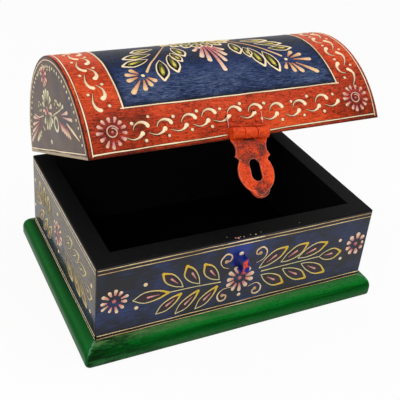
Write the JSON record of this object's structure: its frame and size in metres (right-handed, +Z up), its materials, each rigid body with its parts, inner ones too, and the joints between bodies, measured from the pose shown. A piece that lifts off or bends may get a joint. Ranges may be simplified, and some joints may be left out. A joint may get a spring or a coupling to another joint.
{
  "type": "domed wooden box",
  "caption": "Small painted wooden box with a domed lid on back hinges, a stepped base board and a slotted hasp over a strap staple.",
  "frame": {"origin": "middle of the base board's underside", "axes": "+X to the box's right along its length, +Y to the back where the hinges are, +Z up"},
  "size_m": [0.162, 0.1243, 0.1254],
  "materials": {
    "base_green": "glossy green oil paint on wood, streaked and worn on the edge",
    "wall_blue": "dark blue paint over a dark ground, raised cone painting, black rim and inside",
    "lid_red": "vermilion paint brushed over a dark ground with an ultramarine panel, raised cone painting",
    "lid_end_blue": "hazed blue paint with raised cone painting",
    "red_metal": "vermilion brush paint over sheet metal, worn",
    "blue_metal": "bright blue brush paint over sheet metal, worn",
    "hinge_brass": "plain rolled brass, dull",
    "nail_steel": "bright drawn wire"
  },
  "bodies": {
    "base": {"base_board": "base_green", "front_wall": "wall_blue", "back_wall": "wall_blue", "left_wall": "wall_blue", "right_wall": "wall_blue", "base_nails": "nail_steel", "corner_nails": "nail_steel", "staple": "blue_metal", "hinge_body_tacks": "blue_metal", "left_hinge_body_leaf": "blue_metal", "left_hinge_pin": "hinge_brass", "right_hinge_body_leaf": "blue_metal", "right_hinge_pin": "hinge_brass"},
    "lid": {"lid_stave_1": "lid_red", "lid_stave_2": "lid_red", "lid_stave_3": "lid_red", "lid_stave_4": "lid_red", "lid_stave_5": "lid_red", "lid_stave_6": "lid_red", "lid_stave_7": "lid_red", "lid_left_end": "lid_end_blue", "lid_right_end": "lid_end_blue", "lid_nails": "nail_steel", "hinge_lid_tacks": "red_metal", "left_hinge_lid_leaf": "red_metal", "right_hinge_lid_leaf": "red_metal", "hasp_plate": "red_metal", "hasp_pin": "red_metal", "hasp_tacks": "red_metal"},
    "hasp_tongue": {"hasp_tongue": "red_metal"}
  },
  "joints": [
    {"name": "lid_hinge", "type": "hinge", "parent": "base", "child": "lid", "pos_m": [0, 0.0554, 0.051], "axis": [-1, 0, 0], "range_deg": [-25.7, 79.3]},
    {"name": "hasp_hinge", "type": "hinge", "parent": "lid", "child": "hasp_tongue", "pos_m": [0.0001, -0.04272, 0.10355], "axis": [-0.9954, 0.0416, 0.0864], "range_deg": [-23.3, 126.7]}
  ]
}
